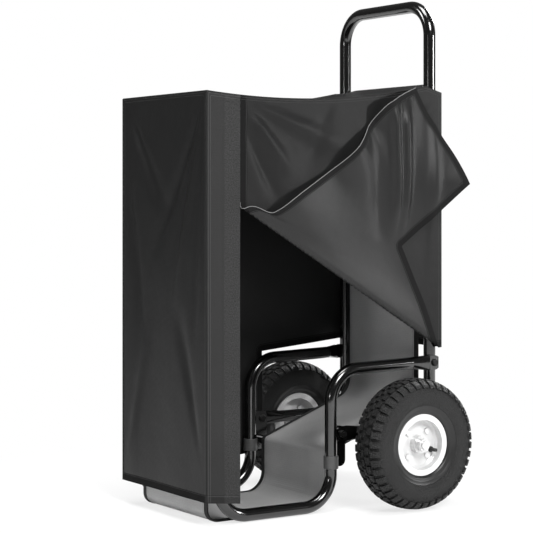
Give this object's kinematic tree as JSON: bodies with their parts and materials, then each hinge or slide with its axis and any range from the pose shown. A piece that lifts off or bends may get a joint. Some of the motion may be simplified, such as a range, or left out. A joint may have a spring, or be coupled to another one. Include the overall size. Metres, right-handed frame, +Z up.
{
  "type": "firewood log rack",
  "caption": "Wheeled cart rack of bent tube with a canvas log sling, air-filled tyres and a rain cover whose side flap is folded open.",
  "frame": {"origin": "on the ground under the centre of the whole object's box", "axes": "+Z up, -Y is the front (the tall covered face), +Y the handle side, +X the side whose cover flap is folded open"},
  "size_m": [0.5024, 0.567, 1.005],
  "materials": {
    "black_tube": "gloss black powder coat",
    "dark_steel": "blackened steel bolts and nuts",
    "zinc_steel": "bright zinc plate",
    "sleeve_plastic": "matt dark grey moulding",
    "tyre": "black rubber with a block tread",
    "white_rim": "gloss white enamel",
    "valve_rubber": "black rubber with a brass core",
    "sling_canvas": "woven mid-grey canvas, black bound edges",
    "cover_cloth": "coated charcoal cloth, satin inside"
  },
  "bodies": {
    "frame": {"axle": "zinc_steel", "cover_back": "cover_cloth", "cover_far_side": "cover_cloth", "cover_flap_folded": "cover_cloth", "cover_flap_hanging": "cover_cloth", "cover_front": "cover_cloth", "cover_near_strip": "cover_cloth", "cover_top": "cover_cloth", "front_frame": "black_tube", "front_mid_bar": "black_tube", "handle_frame": "black_tube", "left_axle_bracket": "black_tube", "left_axle_spacer": "zinc_steel", "left_foot_tube": "black_tube", "left_front_sleeve": "sleeve_plastic", "left_handle_bolt": "dark_steel", "left_lock_nut": "zinc_steel", "left_post_bolt": "dark_steel", "left_rear_leg": "black_tube", "left_rear_sleeve": "sleeve_plastic", "left_side_tube": "black_tube", "left_strut_bolt": "dark_steel", "left_strut_lug": "black_tube", "left_tab_bolt": "dark_steel", "lower_sling_bar": "black_tube", "rear_sling_bar": "black_tube", "right_axle_bracket": "black_tube", "right_axle_spacer": "zinc_steel", "right_foot_tube": "black_tube", "right_front_sleeve": "sleeve_plastic", "right_handle_bolt": "dark_steel", "right_lock_nut": "zinc_steel", "right_post_bolt": "dark_steel", "right_rear_leg": "black_tube", "right_rear_sleeve": "sleeve_plastic", "right_side_tube": "black_tube", "right_strut_bolt": "dark_steel", "right_strut_lug": "black_tube", "right_tab_bolt": "dark_steel", "sling_back": "sling_canvas", "sling_base": "sling_canvas", "sling_drop": "sling_canvas", "sling_front": "sling_canvas", "sling_slope": "sling_canvas"},
    "left_wheel": {"left_tyre": "tyre", "left_rim_outer": "white_rim", "left_rim_inner": "white_rim", "left_bearing": "zinc_steel", "left_rim_bolts": "zinc_steel", "left_valve_stem": "valve_rubber"},
    "right_wheel": {"right_tyre": "tyre", "right_rim_outer": "white_rim", "right_rim_inner": "white_rim", "right_bearing": "zinc_steel", "right_rim_bolts": "zinc_steel", "right_valve_stem": "valve_rubber"}
  },
  "joints": [
    {"name": "left_wheel_spin", "type": "hinge", "parent": "frame", "child": "left_wheel", "pos_m": [-0.213, 0.1565, 0.127], "axis": [1, 0, 0], "continuous": true},
    {"name": "right_wheel_spin", "type": "hinge", "parent": "frame", "child": "right_wheel", "pos_m": [0.213, 0.1565, 0.127], "axis": [1, 0, 0], "continuous": true}
  ]
}
